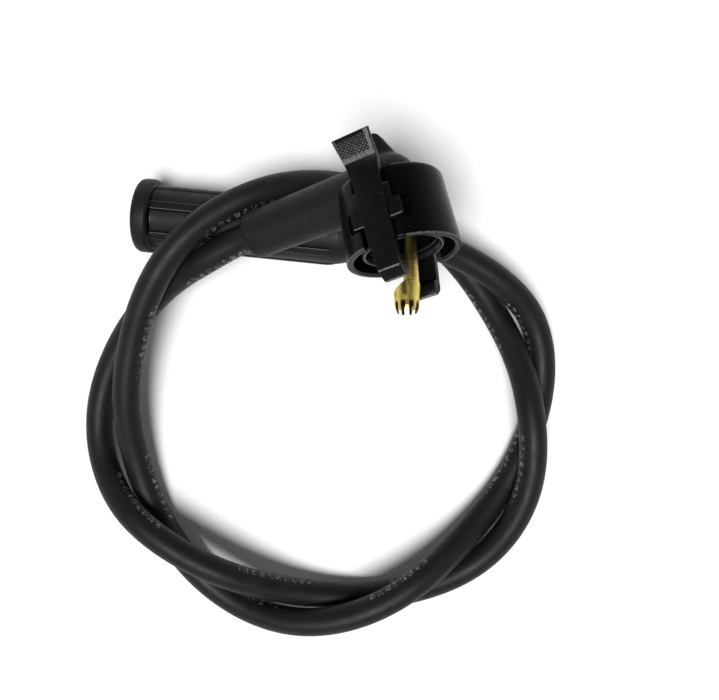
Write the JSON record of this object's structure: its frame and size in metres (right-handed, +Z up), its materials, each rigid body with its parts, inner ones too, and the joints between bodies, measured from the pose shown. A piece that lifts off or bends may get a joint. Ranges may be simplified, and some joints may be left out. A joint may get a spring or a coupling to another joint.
{
  "type": "ignition lead",
  "caption": "High-tension ignition lead: loose rubber cable with a straight spark plug boot and an elbow coil connector that snaps on with two squeeze latches.",
  "frame": {"origin": "on the table, under the centre of the box round the two moulded ends", "axes": "+Z up from the table the lead lies on, +X from the plug boot's mouth towards the coil connector, +Y away from the loop of cable"},
  "size_m": [0.1389, 0.1391, 0.0645],
  "materials": {
    "boot_rubber": "matte",
    "cable_jacket": "satin",
    "shell_plastic": "satin",
    "latch_plastic": "fine texture",
    "terminal_brass": "satin, folded sheet",
    "plated_steel": "satin",
    "glass_braid": "woven",
    "cable_insulation": "matte",
    "conductor_core": "carbon-coated fibre, matte"
  },
  "bodies": {
    "lead": {"ignition_cable": "cable_jacket", "coil_boot": "boot_rubber", "coil_shell": "shell_plastic", "coil_terminal": "terminal_brass", "coil_end_jacket": "cable_jacket", "coil_end_braid": "glass_braid", "coil_end_insulation": "cable_insulation", "coil_end_conductor": "conductor_core", "plug_boot": "boot_rubber", "plug_terminal": "plated_steel", "plug_terminal_clip": "plated_steel", "plug_end_jacket": "cable_jacket", "plug_end_braid": "glass_braid", "plug_end_insulation": "cable_insulation", "plug_end_conductor": "conductor_core"},
    "front_latch": {"latch_front": "latch_plastic"},
    "rear_latch": {"latch_rear": "latch_plastic"}
  },
  "joints": [
    {"name": "front_latch_hinge", "type": "hinge", "parent": "lead", "child": "front_latch", "pos_m": [0.02403, 0.00032, 0.05838], "axis": [-0.8818, -0.2697, -0.3869], "range_deg": [0, 9], "stiffness_Nm_per_rad": 0.3},
    {"name": "rear_latch_hinge", "type": "hinge", "parent": "lead", "child": "rear_latch", "pos_m": [0.03505, -0.00327, 0.03578], "axis": [0.8818, 0.2697, 0.3869], "range_deg": [0, 9], "stiffness_Nm_per_rad": 0.3}
  ]
}
